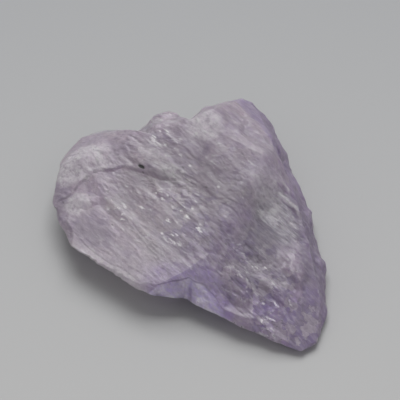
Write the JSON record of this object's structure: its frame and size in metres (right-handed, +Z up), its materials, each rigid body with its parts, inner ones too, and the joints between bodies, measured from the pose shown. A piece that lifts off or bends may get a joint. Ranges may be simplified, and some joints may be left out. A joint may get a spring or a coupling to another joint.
{
  "type": "kunzite crystal",
  "caption": "Rough lilac kunzite crystal lying on its flat underside, with a thick ledged half, a curved scarp and a thin pointed violet tip.",
  "frame": {"origin": "the point on the resting surface under the middle of the crystal's box", "axes": "+X along the crystal's long axis and striations, towards the pointed tip; +Z up, away from the flat underside; +Y across, from the thin front edge towards the upright back"},
  "size_m": [0.0451, 0.0346, 0.0121],
  "materials": {
    "kunzite": "natural broken and striated faces, frosty and see-through, lilac deepening to violet at the tip"
  },
  "bodies": {
    "root": {"kunzite_crystal": "kunzite"}
  },
  "joints": []
}
